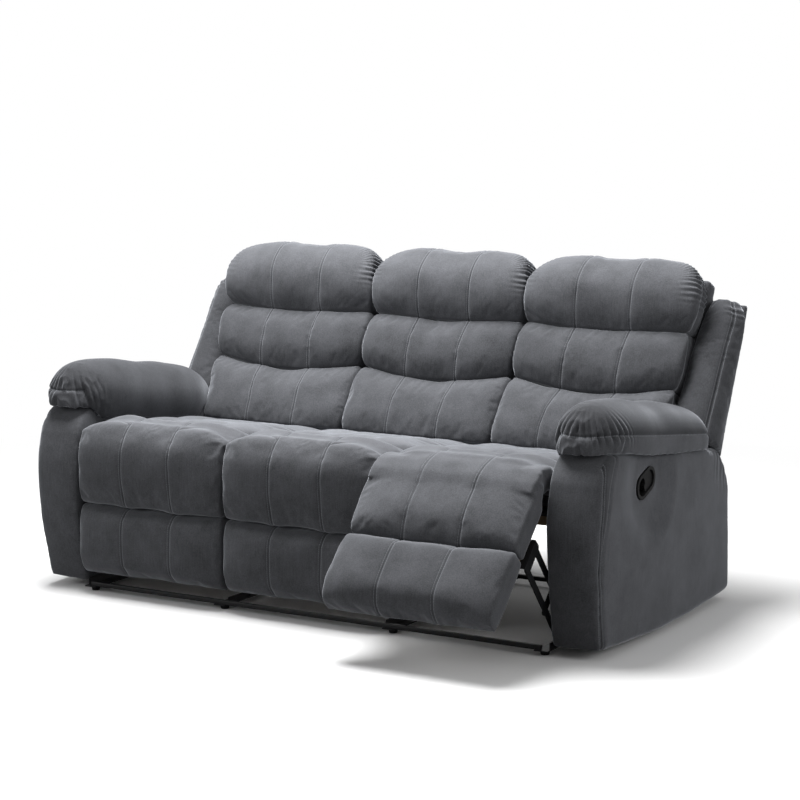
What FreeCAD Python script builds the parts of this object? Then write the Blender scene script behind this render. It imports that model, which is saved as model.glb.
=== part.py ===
import FreeCAD
import Part
import math
import os

from FreeCAD import Vector

# Three-seat reclining sofa: fixed middle seat, an outer seat each side with a reclining back
# and a fold-out footrest. Millimetres, X across, -Y towards the sitter's feet, +Z up.
# The source works from the seats' own datum; the last step moves the origin to mid depth.

# Overall layout
seat_pitch = 545.0
arm_width = 158.0
arm_gap = 0.5
body_gap = 0.3
floor_gap = 30.0

# Arm profile, seen from the side
arm_front_bottom = (-436.0, 30.0)
arm_front_low = (-467.0, 171.0)
arm_front_belly = (-486.0, 330.0)
arm_front_high = (-470.0, 480.0)
arm_front_corner = (-441.0, 547.0)
arm_front_top = (-392.0, 578.0)
arm_rear_inset = 10.0
arm_rear_top_z = 488.0
arm_side_round = 20.0
arm_bottom_sag = 14.0

# Arm pad
pad_overhang_out = 26.0
pad_overhang_in = 32.0
pad_front_y = -466.0
pad_rear_y = 272.0
pad_front_rise = 150.0
pad_rear_rise = 136.0
pad_hang = 38.0
pad_tuck = 16.0

# Recline hinge of the outer backs
recline_y = 180.0
recline_z = 230.0
arm_clear_radius = 306.0
wing_clearance = 2.0
seat_clear_radius = 235.0

# Backs: a leaning datum line runs up the rear face, depths are measured forwards from it
back_foot_y = 397.0
back_foot_z = 446.0
back_lean = 24.0
shell_depth = 58.0
shell_low = -100.0
shell_top = 556.0
shell_widen = 24.0
shell_inset = 6.0
back_gap = 3.0
back_in_low = 275.0
back_in_high = 289.0
back_out_high = 861.0
row_low = -80.0
row_lumbar_mid = 179.0
row_mid_head = 363.0
head_top = 597.0
row_notch = 16.0
back_side_draw = 16.0
back_crown = 5.0
roll_end_draw = 9.0

# Wing beside each outer back
wing_board = 20.0
wing_top = 498.0
wing_swell = 16.0
wing_top_round = 80.0
wing_corner = 30.0

# Seats
deck_top = 400.0
deck_height = 52.0
deck_front_y = -340.0
deck_rear_y = 150.0
deck_half = 250.0
rail_wide = 40.0
slat_count = 2
strap_thick = 2.0
strap_wide = 50.0
strap_count = 4
cushion_rear_y = 228.0
cushion_front_y = -476.0
cushion_rise = 135.0
cushion_crown = 6.0
cushion_half = 270.0
cushion_under_z = 446.0
middle_half = 262.7
post_drop = 60.0

# Footrest: the cushion turns about the seat's front top edge
fold_y = -490.0
fold_z = 538.0
right_open = 43.5
pad_depth = 80.0
pad_half = 269.0
pad_round = 34.0
pad_corner = 6.0
pad_crown = 6.0
board_thick = 18.0
board_half = 245.0
board_low = 80.0
board_high = 438.0
pad_seam_z = 284.0
pad_bottom_z = 60.0

# Linkage behind each footrest
plate_thick = 3.0
link_thick = 4.0
link_gap = 1.0
plate_face = 271.5
link_half = 12.0
pin_r = 5.0
recline_pin_r = 6.0
pin_play = 0.05
open_play = 0.25
link_pivot_y = -318.0
link_pivot_z = 332.0
drive_share = 0.3
arm_reach = 120.0
upper_hole = -180.0
lower_hole = -250.0
tube_side = 19.0

# Base
bar_side = 14.0
bar_end_gap = 27.0
bar_y = -450.0
rear_bar_y = 320.0
rail_flange = 42.0
rail_height = 24.0
rail_thick = 3.0
foot_height = 14.0
foot_r = 15.0
tab_front_y = -150.0
tab_rear_y = 140.0
tab_wide = 44.0
tab_thick = 3.0

# Release handle in each arm's outer face
handle_y = -171.0
handle_z = 465.0
handle_tilt = 20.0
bezel_long = 124.0
bezel_wide = 72.0
bezel_rim = 4.0
cup_long = 110.0
cup_wide = 58.0
cup_depth = 30.0
cup_wall = 3.0
lever_play = 2.0
lever_thick = 10.0
lever_front = -8.0
lever_pin_at = 38.0
lever_pin_r = 2.5

# Sizes that follow from the ones above
seat_x = seat_pitch
arm_in = 1.5 * seat_pitch - arm_gap
arm_out = arm_in + arm_width
lean = math.radians(back_lean)
up_y = math.sin(lean)
up_z = math.cos(lean)
arm_rear_bottom_y = recline_y + arm_clear_radius - arm_rear_inset
wing_clear = arm_clear_radius + wing_clearance
bar_half = arm_in - bar_end_gap
drive_pivot_y = link_pivot_y + drive_share * (fold_y - link_pivot_y)
drive_pivot_z = link_pivot_z + drive_share * (fold_z - link_pivot_z)
layer_plate = plate_face - plate_thick
layer_link = layer_plate - link_gap - link_thick
layer_strut = layer_link - link_gap - link_thick
layer_drive = layer_strut - link_gap - link_thick
cushion_base = deck_top + strap_thick + body_gap
board_front_y = fold_y + pad_depth
board_rear_y = board_front_y + board_thick
deck_low = deck_top - deck_height
tab_top = deck_low - body_gap

made = {}


def polygon(points, x0, x1):
    """A flat-sided piece with the outline (y, z), from x0 to x1."""
    corners = [Vector(x0, y, z) for y, z in points]
    wire = Part.makePolygon(corners + corners[:1])
    return Part.Face(wire).extrude(Vector(x1 - x0, 0, 0))


def block(x0, x1, y0, y1, z0, z1):
    return Part.makeBox(x1 - x0, y1 - y0, z1 - z0, Vector(x0, y0, z0))


def rod(radius, y, z, x0, x1):
    """A round bar along X."""
    return Part.makeCylinder(radius, x1 - x0, Vector(x0, y, z), Vector(1, 0, 0))


def other_side(shape):
    return shape.mirror(Vector(0, 0, 0), Vector(1, 0, 0))


def keep(side, name, shape):
    """Stores a piece built for the right-hand side, turned over for the left."""
    made[side + "_" + name] = shape if side == "right" else other_side(shape)


def turned(point, angle):
    """Where a (y, z) offset points once its carrier has opened by an angle."""
    a = math.radians(angle)
    y, z = point
    return (y * math.cos(a) + z * math.sin(a), z * math.cos(a) - y * math.sin(a))


def opened(shape, angle, pivot):
    """A closed footrest part, swung outwards about a pivot."""
    done = shape.copy()
    done.rotate(Vector(0, pivot[0], pivot[1]), Vector(-1, 0, 0), angle)
    return done


def crowned_wire(place, left, right, back, side, seam, crown, inset=0.0, panels=3):
    """Cross-section of a channelled cushion: flat back, drawn-in sides, one arc per panel."""
    step = (right - left) / panels
    seams = [(left + step * i, seam) for i in range(1, panels)]
    left += inset
    right -= inset
    stations = [(left, side)] + seams + [(right, side)]
    edges = [Part.LineSegment(place(left, back), place(left, side)).toShape()]
    for (a0, d0), (a1, d1) in zip(stations, stations[1:]):
        middle = place((a0 + a1) / 2, max(d0, d1) + crown)
        edges.append(Part.Arc(place(a0, d0), middle, place(a1, d1)).toShape())
    edges.append(Part.LineSegment(place(right, side), place(right, back)).toShape())
    edges.append(Part.LineSegment(place(right, back), place(left, back)).toShape())
    return Part.Wire(edges)


def skinned(wires):
    return Part.makeLoft(wires, True, False, False, 3)


# Backs


def on_back(across, up, depth):
    """A point on a back: distance up the leaning rear line, depth forwards from it."""
    y = back_foot_y + up * up_y - depth * up_z
    z = back_foot_z + up * up_z + depth * up_y
    return Vector(across, y, z)


def back_roll(low, high, front_low, front_high, swell, edges):
    """One stuffed roll of a back between two row seams; edges(up) gives its two sides."""
    wires = []
    for share, fill in ((0, 0), (0.14, 0.62), (0.5, 1), (0.86, 0.62), (1, 0)):
        up = low + (high - low) * share
        front = front_low + (front_high - front_low) * share - row_notch
        seam = front + fill * (swell + row_notch)
        left, right = edges(up)
        place = lambda across, depth, up=up: on_back(across, up, depth)
        side = seam - back_side_draw
        crown = back_crown * (0.4 + 0.6 * fill)
        wires.append(crowned_wire(place, left, right, shell_depth + body_gap, side, seam, crown,
                                  roll_end_draw * (1 - fill)))
    return skinned(wires)


def headrest(edges):
    """The top roll: it swells forwards and closes over the top of the shell."""
    low = row_mid_head + 1
    outline = (
        (low, shell_depth, 142, 0.3, 6),
        (low + 30, shell_depth, 176, 0.8, 2),
        (low + 105, shell_depth, 196, 1.0, 1),
        (low + 150, shell_depth, 188, 1.0, 10),
        (shell_top - 11, shell_depth, 172, 1.0, 24),
        (shell_top + 14, shell_depth + 8, 154, 0.9, 46),
        (head_top, shell_depth + 34, 124, 0.4, 100),
    )
    wires = []
    for up, back, seam, fill, inset in outline:
        left, right = edges(up)
        place = lambda across, depth, up=up: on_back(across, up, depth)
        side = max(seam - back_side_draw, back + 6)
        wires.append(crowned_wire(place, left, right, back + body_gap, side, seam,
                                  back_crown * fill, inset))
    behind = [on_back(-2 * arm_out, up, depth) for up, depth in (
        (row_low, 0), (row_low, shell_depth + body_gap), (shell_top + body_gap, shell_depth + body_gap),
        (shell_top + body_gap, 0))]
    room = Part.Face(Part.makePolygon(behind + behind[:1])).extrude(Vector(4 * arm_out, 0, 0))
    return skinned(wires).cut(room)


def back_shell(outline):
    """The upholstered frame behind the rolls, as an outline (across, up)."""
    corners = [on_back(across, up, 0) for across, up in outline]
    wire = Part.makePolygon(corners + corners[:1])
    forwards = on_back(0, 0, shell_depth) - on_back(0, 0, 0)
    return Part.Face(wire).extrude(forwards)


def clear_of_hinge(shape, radius):
    """Cuts back what would sweep through the arm or seat as the back reclines."""
    return shape.cut(rod(radius, recline_y, recline_z, -2 * arm_out, 2 * arm_out))


def outer_in(up):
    return back_in_low + (back_in_high - back_in_low) * (up - row_low) / (head_top - row_low)


def outer_edges_high(up):
    share = (up - row_lumbar_mid) / (head_top - row_lumbar_mid)
    out_low = back_out_high - 20
    return outer_in(up), out_low + (back_out_high - out_low) * share


def outer_edges_lumbar(up):
    """Between the arms the lumbar roll is narrow; above the pads it widens."""
    share = max(0.0, (up - 20) / (row_lumbar_mid - 20))
    out_low = arm_in - 13
    return outer_in(up), out_low + (back_out_high - 20 - out_low) * share


def middle_edges(up):
    half = outer_in(up) - back_gap
    return -half, half


made["middle_lumbar_roll"] = clear_of_hinge(
    back_roll(row_low, row_lumbar_mid - 1, 216, 168, 14, middle_edges), seat_clear_radius + 2)
made["middle_back_roll"] = back_roll(row_lumbar_mid, row_mid_head, 168, 160, 14, middle_edges)
made["middle_headrest"] = headrest(middle_edges)
shell_top_half = middle_edges(shell_top)[1] - shell_inset
middle_outline = [
    (-middle_half, shell_low),
    (middle_half, shell_low),
    (middle_half, shell_widen),
    (shell_top_half, shell_top),
    (-shell_top_half, shell_top),
    (-middle_half, shell_widen),
]
made["middle_back_shell"] = back_shell(middle_outline)

lumbar = back_roll(row_low, row_lumbar_mid - 1, 216, 168, 14, outer_edges_lumbar)
lumbar = clear_of_hinge(lumbar, seat_clear_radius + 2)
middle_roll = back_roll(row_lumbar_mid, row_mid_head, 168, 160, 14, outer_edges_high)
top_roll = headrest(outer_edges_high)

wing_in_low = arm_in + 20
wing_in_high = back_out_high + 4
shell_low_half = plate_face - plate_thick - link_gap - link_thick - body_gap
shell_outline = [
    (seat_x - shell_low_half, shell_low),
    (seat_x + shell_low_half, shell_low),
    (seat_x + shell_low_half, shell_widen),
    (wing_in_low - 4, shell_widen),
    (wing_in_high - 8, shell_top),
    (outer_in(shell_top) + shell_inset, shell_top),
]
outer_shell = back_shell(shell_outline)
wing_panel_corners = [
    on_back(seat_x + shell_low_half - 5, -60, 0),
    on_back(arm_out - 2, -60, 0),
    on_back(arm_out - 2, wing_top - 4, 0),
    on_back(seat_x + shell_low_half - 5, wing_top - 4, 0),
]
wing_panel = Part.Face(Part.makePolygon(wing_panel_corners + wing_panel_corners[:1]))
wing_panel = wing_panel.extrude(on_back(0, 0, wing_board) - on_back(0, 0, 0))
outer_shell = outer_shell.fuse(clear_of_hinge(wing_panel, wing_clear)).removeSplitter()


def wing_wire(up):
    """Cross-section of the padded wing: flat outer strip, bulging front face."""
    share = max(up / wing_top, 0)
    inner = wing_in_low + (wing_in_high - wing_in_low) * up / wing_top
    back = wing_board + body_gap
    ease = max(0, (up - wing_top + wing_top_round) / wing_top_round)
    edge = arm_out - wing_corner * ease ** 2
    deep = (138 - 66 * share ** 1.5) * (1 - 0.28 * ease ** 2)
    outer = (140 - 84 * share) * (1 - 0.25 * ease ** 2)
    inner_edge = deep - 14
    place = lambda across, depth: on_back(across, up, depth)
    edges = [
        Part.LineSegment(place(inner, back), place(inner, inner_edge)).toShape(),
        Part.Arc(place(inner, inner_edge), place(inner + (edge - inner) * 0.4, deep + 6),
                 place(edge, outer)).toShape(),
        Part.Arc(place(edge, outer), place(edge + wing_swell * (1 - 0.8 * ease), (outer + back) * 0.55),
                 place(edge, back)).toShape(),
        Part.LineSegment(place(edge, back), place(inner, back)).toShape(),
    ]
    return Part.Wire(edges)


wing = skinned([wing_wire(up) for up in (-40, 100, 240, 380, 450, wing_top)])
wing = clear_of_hinge(wing, wing_clear)


def recline_bracket(half_a, half_b):
    """Steel bracket from the recline pin to the side of a back shell."""
    pin = (recline_y, recline_z)
    outline = [
        (pin[0] - 16, pin[1] - 8),
        (pin[0] + 2, pin[1] - 17),
        (pin[0] + 70, pin[1] + 20),
        (360, 352),
        (392, 430),
        (352, 452),
        (292, 380),
        (pin[0] + 4, pin[1] + 22),
        (pin[0] - 14, pin[1] + 12),
    ]
    plate = polygon(outline, half_a, half_b)
    return plate.cut(rod(recline_pin_r + pin_play, pin[0], pin[1], half_a - 1, half_b + 1))


brackets = Part.makeCompound([
    recline_bracket(seat_x + layer_link, seat_x + layer_link + link_thick),
    recline_bracket(seat_x - layer_link - link_thick, seat_x - layer_link),
])

for side in ("left", "right"):
    keep(side, "lumbar_roll", lumbar)
    keep(side, "back_roll", middle_roll)
    keep(side, "headrest", top_roll)
    keep(side, "back_shell", outer_shell)
    keep(side, "wing", wing)
    keep(side, "back_brackets", brackets)

post_outline = [
    (-100, deck_low - post_drop),
    (deck_rear_y + 60, deck_low - post_drop),
    (330, 372),
    (392, 452),
    (348, 452),
    (311, 391),
    (268, deck_top - 3),
    (-100, deck_top - 3),
]
post_in = middle_half + body_gap
post_out = seat_pitch - plate_face - body_gap
made["middle_back_posts"] = Part.makeCompound([
    polygon(post_outline, post_in, post_out),
    polygon(post_outline, -post_out, -post_in),
])

# Seats


def seat_cushion(centre):
    """A seat cushion with two sewn lines front to back and one channel across."""
    outline = (
        (0.0, 0.265, 0.34, 0.3),
        (0.139, 0.345, 0.44, 0.7),
        (0.281, 0.457, 0.583, 1.0),
        (0.423, 0.561, 0.687, 1.0),
        (0.509, 0.62, 0.746, 0.9),
        (0.615, 0.672, 0.805, 0.8),
        (0.696, 0.664, 0.753, 0.3),
        (0.771, 0.805, 0.946, 0.8),
        (0.849, 0.864, 1.005, 1.0),
        (0.928, 0.835, 0.976, 0.9),
        (1.0, 0.664, 0.79, 0.5),
    )
    wires = []
    for share, side, seam, fill in outline:
        y = cushion_rear_y + (cushion_front_y - cushion_rear_y) * share
        place = lambda across, z, y=y: Vector(across, y, z)
        wires.append(crowned_wire(place, centre - cushion_half, centre + cushion_half, cushion_base,
                                  cushion_base + side * cushion_rise,
                                  cushion_base + seam * cushion_rise, cushion_crown * fill))
    cushion = skinned(wires)
    under = [
        (deck_front_y - 2, cushion_base - 40),
        (deck_front_y - 2, cushion_under_z),
        (fold_z + fold_y - cushion_under_z, cushion_under_z),
        (fold_y - 120, fold_z + 120),
        (fold_y - 120, cushion_base - 40),
    ]
    return cushion.cut(polygon(under, centre - 2 * cushion_half, centre + 2 * cushion_half))


def seat_deck(centre, half):
    """Wooden frame: four rails and cross slats, with open bays between them."""
    deck = block(centre - half, centre + half, deck_front_y, deck_rear_y, deck_low, deck_top)
    bay = (deck_rear_y - deck_front_y - rail_wide * (slat_count + 2)) / (slat_count + 1)
    for i in range(slat_count + 1):
        y0 = deck_front_y + rail_wide + i * (bay + rail_wide)
        opening = block(centre - half + rail_wide, centre + half - rail_wide, y0, y0 + bay,
                        deck_low - 1, deck_top + 1)
        deck = deck.cut(opening)
    return deck


def webbing(centre):
    """Elastic straps from the deck's front rail to its rear rail."""
    room = 2 * (deck_half - rail_wide)
    pitch = room / strap_count
    return [
        block(centre - room / 2 + pitch * (i + 0.5) - strap_wide / 2,
              centre - room / 2 + pitch * (i + 0.5) + strap_wide / 2,
              deck_front_y + 4, deck_rear_y - 4, deck_top, deck_top + strap_thick)
        for i in range(strap_count)
    ]


def side_plate(centre, side):
    """Pressed side plate with its pivot studs and the inward tabs that carry the deck."""
    legs = [
        (-386, 378), (-386, 402), (-374, 410), (-356, 408), (-330, 364), (-296, tab_top),
        (tab_rear_y, tab_top), (200, 256), (202, 212), (166, 204), (160, 190), (160, 20),
        (112, 20), (112, 150), (80, 186), (-5, 186), (-35, 150), (-35, 20),
        (-85, 20), (-85, 150), (-115, 186), (-240, 186), (-270, 150), (-270, 20),
        (-330, 20), (-330, 290), (-352, 340),
    ]
    legs = [(y, foot_height + rail_thick + 3 if z == 20 else z) for y, z in legs]
    face = sorted((side * layer_plate, side * plate_face))
    plate = polygon(legs, centre + face[0], centre + face[1])

    def stud(radius, y, z, tip):
        ends = sorted((side * tip, side * (layer_plate + 1)))
        return rod(radius, y, z, centre + ends[0], centre + ends[1])

    plate = plate.fuse(stud(pin_r, link_pivot_y, link_pivot_z, layer_link + 0.2))
    plate = plate.fuse(stud(pin_r, drive_pivot_y, drive_pivot_z, layer_drive + 0.4))
    plate = plate.fuse(stud(recline_pin_r, recline_y, recline_z, layer_link + 0.2))
    ends = sorted((side * (plate_face - tab_wide), side * (layer_plate + 1)))
    tab = block(centre + ends[0], centre + ends[1], tab_front_y, tab_rear_y - 4,
                tab_top - tab_thick, tab_top)
    return plate.fuse(tab).removeSplitter()


def base_rail(centre, side):
    """Angle section on the floor, cut back to a flat strap where the cross bars lie on it."""
    wall = sorted((side * (layer_plate - body_gap - rail_thick), side * (layer_plate - body_gap)))
    flat = sorted((side * (layer_plate - body_gap - rail_flange), side * (layer_plate - body_gap)))
    y0 = bar_y - bar_side / 2 - 2
    y1 = rear_bar_y + bar_side / 2 + 2
    strip = block(centre + flat[0], centre + flat[1], y0, y1, foot_height, foot_height + rail_thick)
    upright = block(centre + wall[0], centre + wall[1], y0 + bar_side + 6, y1 - bar_side - 6,
                    foot_height, foot_height + rail_height)
    return strip.fuse(upright).removeSplitter()


def cross_bar(y):
    low = foot_height + rail_thick
    bar = block(-bar_half, bar_half, y - bar_side / 2, y + bar_side / 2, low, low + bar_side)
    long_edges = [e for e in bar.Edges if e.Length > bar_half]
    return bar.makeFillet(3, long_edges)


made["middle_seat_cushion"] = seat_cushion(0)
made["middle_seat_deck"] = seat_deck(0, middle_half)
straps = webbing(0) + webbing(seat_x) + webbing(-seat_x)
made["seat_webbing"] = Part.makeCompound(straps)
made["front_bar"] = cross_bar(bar_y)
made["rear_bar"] = cross_bar(rear_bar_y)

outer_seat = seat_cushion(seat_x)
outer_deck = seat_deck(seat_x, deck_half)
plates = Part.makeCompound([side_plate(seat_x, 1), side_plate(seat_x, -1)])
for side in ("left", "right"):
    keep(side, "seat_cushion", outer_seat)
    keep(side, "seat_deck", outer_deck)
    keep(side, "side_plates", plates)

rails = [base_rail(seat_x, 1), base_rail(seat_x, -1)]
rails += [other_side(rail) for rail in rails]
made["base_rails"] = Part.makeCompound(rails)
feet = []
for x in (-1, 1):
    for inner in (-1, 1):
        middle = x * (seat_x + inner * (layer_plate - body_gap - rail_flange / 2))
        for y in (bar_y + 20, rear_bar_y - 20):
            glide = Part.makeCone(foot_r - 3, foot_r, foot_height, Vector(middle, y, 0))
            feet.append(glide)
made["feet"] = Part.makeCompound(feet)

# Footrests


def front_pad(centre, low, high, outline):
    """A front pad hung on its board; the outline gives shares of its height and of its rounding."""
    wires = []
    for share, side, seam, fill in outline:
        z = low + (high - low) * share
        place = lambda across, depth, z=z: Vector(across, -depth, z)
        half = pad_half - pad_corner * (1 - fill)
        wires.append(crowned_wire(place, centre - half, centre + half, -board_front_y + body_gap,
                                  -fold_y - side * pad_round, -fold_y - seam * pad_round,
                                  pad_crown * fill))
    return skinned(wires)


def upper_pad(centre):
    pad = front_pad(centre, pad_seam_z, fold_z, (
        (0.004, 0.82, 0.65, 0.2),
        (0.063, 0.5, 0.235, 0.7),
        (0.26, 0.294, 0.03, 1.0),
        (0.535, 0.294, 0.03, 1.0),
        (0.732, 0.44, 0.176, 0.9),
        (0.87, 0.82, 0.53, 0.8),
        (0.96, 1.53, 1.235, 0.5),
    ))
    above = [
        (fold_y - 120, fold_z + 120 - body_gap),
        (fold_y + 200, fold_z - 200 - body_gap),
        (fold_y + 200, fold_z + 300),
        (fold_y - 120, fold_z + 300),
    ]
    return pad.cut(polygon(above, centre - 2 * pad_half, centre + 2 * pad_half))


def lower_pad(centre):
    return front_pad(centre, pad_bottom_z, pad_seam_z, (
        (0.0, 1.35, 1.0, 0.1),
        (0.054, 0.765, 0.47, 0.5),
        (0.223, 0.353, 0.088, 1.0),
        (0.536, 0.265, 0.0, 1.0),
        (0.804, 0.353, 0.088, 1.0),
        (0.929, 0.5, 0.235, 0.7),
        (0.996, 0.82, 0.65, 0.2),
    ))


def front_board(centre):
    return block(centre - board_half, centre + board_half, board_front_y, board_rear_y,
                 board_low, board_high)


def bar_between(ends, radius, x0, x1):
    """Flat link with round ends through a row of (y, z) points."""
    body = None
    for (y0, z0), (y1, z1) in zip(ends, ends[1:]):
        length = math.hypot(y1 - y0, z1 - z0)
        ny = -(z1 - z0) / length * radius
        nz = (y1 - y0) / length * radius
        strip = polygon([(y0 + ny, z0 + nz), (y1 + ny, z1 + nz), (y1 - ny, z1 - nz),
                         (y0 - ny, z0 - nz)], x0, x1)
        piece = strip.fuse(rod(radius, y0, z0, x0, x1)).fuse(rod(radius, y1, z1, x0, x1))
        body = piece if body is None else body.fuse(piece)
    return body.removeSplitter()


def layer(centre, side, inner):
    """X range of a link lying in the layer whose inner face is given."""
    ends = sorted((side * inner, side * (inner + link_thick)))
    return centre + ends[0], centre + ends[1]


def pin(centre, side, y, z, start, tip):
    ends = sorted((side * start, side * tip))
    return rod(pin_r, y, z, centre + ends[0], centre + ends[1])


def hole(shape, y, z, play):
    return shape.cut(rod(pin_r + play, y, z, -2 * arm_out, 2 * arm_out))


def swing_link(centre, side, y, z, inner, stud_from, stud_to):
    """Cranked link on a fixed pivot, with studs for the two struts."""
    x0, x1 = layer(centre, side, inner)
    holes = [(y + arm_reach, z + upper_hole), (y + arm_reach, z + lower_hole)]
    link = bar_between([(y, z)] + holes, link_half, x0, x1)
    link = hole(link, y, z, pin_play)
    for hy, hz in holes:
        link = link.fuse(pin(centre, side, hy, hz, stud_from, stud_to))
    return link.removeSplitter()


def strut(centre, side, height, angle):
    """Bar that keeps its slope while it carries the footrest bracket."""
    x0, x1 = layer(centre, side, layer_strut)
    move_y, move_z = turned((arm_reach, height), angle)
    points = {
        "footrest": (fold_y + move_y, fold_z + move_z),
        "drive": (drive_pivot_y + move_y, drive_pivot_z + move_z),
        "link": (link_pivot_y + move_y, link_pivot_z + move_z),
    }
    bar = bar_between([points["footrest"], points["link"]], link_half - 1.5, x0, x1)
    bar = hole(bar, points["footrest"][0], points["footrest"][1], open_play)
    bar = hole(bar, points["drive"][0], points["drive"][1], open_play)
    return hole(bar, points["link"][0], points["link"][1], pin_play)


def footrest_bracket(centre, side):
    """Angle bracket on the board's rear face, with studs for the struts."""
    top = fold_z + upper_hole
    low = fold_z + lower_hole
    y = fold_y + arm_reach
    rear = board_rear_y + body_gap
    x0, x1 = layer(centre, side, layer_link)
    web = bar_between([(y, top), (y, low)], link_half, x0, x1)
    web = web.fuse(polygon([(rear, top + link_half), (y, top + link_half), (y, low - link_half),
                            (rear, low - link_half)], x0, x1))
    for z in (top, low):
        web = web.fuse(pin(centre, side, y, z, layer_link + 1, layer_strut + 0.2))
    ends = sorted((side * (board_half - 20), side * (layer_link + link_thick)))
    flange = block(centre + ends[0], centre + ends[1], rear, rear + plate_thick,
                   low - link_half, top + link_half)
    return web.fuse(flange).removeSplitter()


def pair(build, *rest):
    return Part.makeCompound([build(seat_x, 1, *rest), build(seat_x, -1, *rest)])


fold = (fold_y, fold_z)
link_pivot = (link_pivot_y, link_pivot_z)
drive_pivot = (drive_pivot_y, drive_pivot_z)
rest_angle = {"left": 0.0, "right": right_open}

swing_pair = pair(swing_link, link_pivot_y, link_pivot_z, layer_link, layer_link + 1,
                  layer_strut + 0.2)
drive_pair = pair(swing_link, drive_pivot_y, drive_pivot_z, layer_drive,
                  layer_drive + link_thick - 1, layer_strut + link_thick - 0.2)
half_tube = tube_side / 2
tube = block(seat_x - layer_drive, seat_x + layer_drive, drive_pivot_y - half_tube,
             drive_pivot_y + half_tube, drive_pivot_z - half_tube, drive_pivot_z + half_tube)
bracket_pair = pair(footrest_bracket)

for side in ("left", "right"):
    angle = rest_angle[side]
    keep(side, "upper_pad", opened(upper_pad(seat_x), angle, fold))
    keep(side, "lower_pad", opened(lower_pad(seat_x), angle, fold))
    keep(side, "footrest_board", opened(front_board(seat_x), angle, fold))
    keep(side, "footrest_brackets", opened(bracket_pair, angle, fold))
    keep(side, "swing_links", opened(swing_pair, angle, link_pivot))
    keep(side, "drive_links", opened(drive_pair, angle, drive_pivot))
    keep(side, "drive_tube", opened(tube, angle, drive_pivot))
    keep(side, "upper_struts", pair(strut, upper_hole, angle))
    keep(side, "lower_struts", pair(strut, lower_hole, angle))

made["middle_upper_pad"] = upper_pad(0)
made["middle_lower_pad"] = lower_pad(0)
made["middle_front_board"] = block(-board_half, board_half, board_front_y, board_rear_y,
                                   board_low, board_high).fuse(
    block(-board_half, board_half, board_rear_y, deck_front_y - body_gap,
          deck_low, deck_top - 12)).removeSplitter()

# Arms


def arm_wire(x):
    """Side outline of an arm: bellied front, sloping top, rear corner round the recline hinge."""
    def at(point):
        return Vector(x, point[0], point[1])

    def on_arc(angle):
        a = math.radians(angle)
        return (recline_y + arm_clear_radius * math.cos(a),
                recline_z + arm_clear_radius * math.sin(a))

    top_angle = math.degrees(math.asin((arm_rear_top_z - recline_z) / arm_clear_radius))
    low_angle = 25.0
    rear_top = on_arc(top_angle)
    rear_low = on_arc(low_angle)
    rear_bottom = (arm_rear_bottom_y, floor_gap)
    middle = on_arc((top_angle + low_angle) / 2)
    low_middle = ((arm_front_bottom[0] + arm_rear_bottom_y) / 2, floor_gap - arm_bottom_sag)
    return Part.Wire([
        Part.Arc(at(arm_front_bottom), at(low_middle), at(rear_bottom)).toShape(),
        Part.LineSegment(at(rear_bottom), at(rear_low)).toShape(),
        Part.Arc(at(rear_low), at(middle), at(rear_top)).toShape(),
        Part.LineSegment(at(rear_top), at(arm_front_top)).toShape(),
        Part.Arc(at(arm_front_top), at(arm_front_corner), at(arm_front_high)).toShape(),
        Part.Arc(at(arm_front_high), at(arm_front_belly), at(arm_front_low)).toShape(),
        Part.LineSegment(at(arm_front_low), at(arm_front_bottom)).toShape(),
    ])


def arm_top_z(y):
    """Height of the arm's straight top under its pad."""
    a = math.asin((arm_rear_top_z - recline_z) / arm_clear_radius)
    rear_y = recline_y + arm_clear_radius * math.cos(a)
    slope = (arm_rear_top_z - arm_front_top[1]) / (rear_y - arm_front_top[0])
    return arm_front_top[1] + slope * (y - arm_front_top[0])


def stadium(length, width, x0, x1):
    """Slot-shaped piece about the X axis, long along Y."""
    radius = width / 2
    half = length / 2 - radius
    body = block(x0, x1, -half, half, -radius, radius)
    body = body.fuse(rod(radius, -half, 0, x0, x1)).fuse(rod(radius, half, 0, x0, x1))
    return body.removeSplitter()


def on_arm(shape):
    """Sets a handle piece, drawn about its own centre, into the right arm's outer face."""
    done = shape.copy()
    done.rotate(Vector(0, 0, 0), Vector(1, 0, 0), handle_tilt)
    done.translate(Vector(arm_out, handle_y, handle_z))
    return done


arm = Part.Face(arm_wire(arm_in)).extrude(Vector(arm_width, 0, 0))
outer_edges = [e for e in arm.Edges if abs(e.BoundBox.XMin - arm_out) < 0.01]
arm = arm.makeFillet(arm_side_round, outer_edges)
arm = arm.cut(on_arm(stadium(cup_long + 0.6, cup_wide + 0.6, -cup_depth - 0.3, 1)))

rim = stadium(bezel_long, bezel_wide, 0, bezel_rim)
cup = stadium(cup_long, cup_wide, -cup_depth, 1)
inner_long = cup_long - 2 * cup_wall
inner_wide = cup_wide - 2 * cup_wall
bezel = rim.fuse(cup).cut(stadium(inner_long, inner_wide, -cup_depth + cup_wall, bezel_rim + 1))
pin_x = -lever_thick / 2 - 1
pin_offset = lever_pin_at + lever_pin_r - (cup_long - cup_wide) / 2
pin_half = math.sqrt((cup_wide / 2) ** 2 - pin_offset ** 2) - 0.6
pin_bore = Part.makeCylinder(lever_pin_r + pin_play, 2 * pin_half,
                             Vector(pin_x, lever_pin_at, -pin_half), Vector(0, 0, 1))
bezel = bezel.cut(pin_bore).removeSplitter()

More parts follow.
